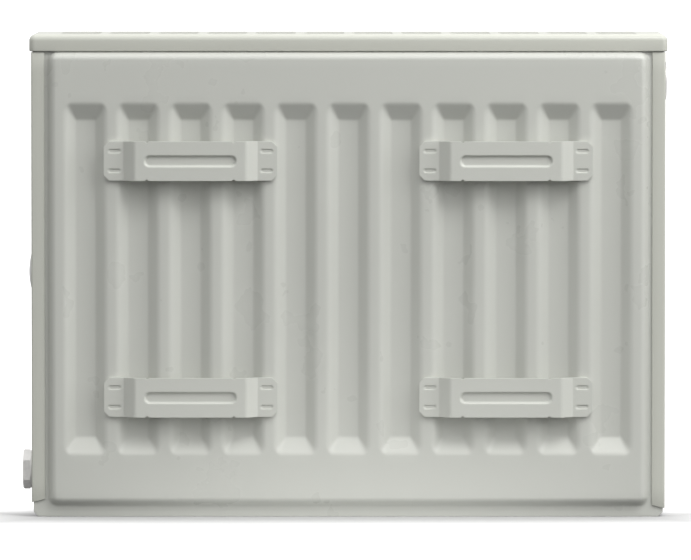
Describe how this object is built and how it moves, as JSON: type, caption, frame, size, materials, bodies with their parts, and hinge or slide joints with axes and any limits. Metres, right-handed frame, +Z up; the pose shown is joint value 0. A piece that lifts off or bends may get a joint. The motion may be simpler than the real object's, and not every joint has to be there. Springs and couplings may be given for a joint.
{
  "type": "panel radiator",
  "caption": "Small double-panel steel radiator with pressed water channels, wall hanging straps, a slotted top grille and side covers.",
  "frame": {"origin": "under the middle of the radiator, centred on its whole depth with the hanging straps, level with the bottom seams it stands on", "axes": "+Z up, -Y towards the wall, +Y towards the room, +X to the right as seen from the wall side"},
  "size_m": [0.4116, 0.1084, 0.3066],
  "materials": {
    "radiator_enamel": "semi-gloss baked white enamel",
    "strap_enamel": "semi-gloss white enamel over strip steel",
    "cover_enamel": "semi-gloss powder coat",
    "convector_enamel": "thin white enamel",
    "plug_nickel": "satin nickel plate on brass",
    "seal": "pale moulded seal",
    "white_plastic": "white moulded plastic",
    "spring_steel": "plated spring steel"
  },
  "bodies": {
    "radiator": {"rear_panel_outer_sheet": "radiator_enamel", "rear_panel_inner_sheet": "radiator_enamel", "rear_convector": "convector_enamel", "front_panel_outer_sheet": "radiator_enamel", "front_panel_inner_sheet": "radiator_enamel", "front_convector": "convector_enamel", "lower_left_tee": "radiator_enamel", "lower_left_hanging_strap": "strap_enamel", "lower_right_tee": "radiator_enamel", "lower_right_hanging_strap": "strap_enamel", "upper_left_tee": "radiator_enamel", "upper_left_hanging_strap": "strap_enamel", "upper_right_tee": "radiator_enamel", "upper_right_hanging_strap": "strap_enamel", "blanking_plug": "plug_nickel", "blanking_plug_seal": "seal", "vent_plug": "plug_nickel", "vent_plug_seal": "seal"},
    "grille": {"top_grille": "cover_enamel", "grille_saddles": "white_plastic"},
    "left_cover": {"left_side_cover": "cover_enamel", "left_cover_clips": "spring_steel"},
    "right_cover": {"right_side_cover": "cover_enamel", "right_cover_clips": "spring_steel"},
    "cap": {"side_cover_cap": "white_plastic"},
    "nozzle": {"vent_nozzle": "white_plastic"},
    "spindle": {"bleed_spindle": "plug_nickel"}
  },
  "joints": [
    {"name": "grille_lift", "type": "slide", "parent": "radiator", "child": "grille", "axis": [0, 0, 1], "range_m": [0, 0.06]},
    {"name": "left_cover_pull", "type": "slide", "parent": "radiator", "child": "left_cover", "axis": [-1, 0, 0], "range_m": [0, 0.03]},
    {"name": "right_cover_pull", "type": "slide", "parent": "radiator", "child": "right_cover", "axis": [1, 0, 0], "range_m": [0, 0.03]},
    {"name": "cap_pull", "type": "slide", "parent": "left_cover", "child": "cap", "axis": [-1, 0, 0], "range_m": [0, 0.012]},
    {"name": "spindle_turn", "type": "hinge", "parent": "radiator", "child": "spindle", "pos_m": [0.2015, 0.00425, 0.276], "axis": [-1, 0, 0], "range_deg": [0, 360]},
    {"name": "nozzle_swivel", "type": "hinge", "parent": "radiator", "child": "nozzle", "pos_m": [0.2015, 0.00425, 0.276], "axis": [1, 0, 0], "continuous": true}
  ]
}
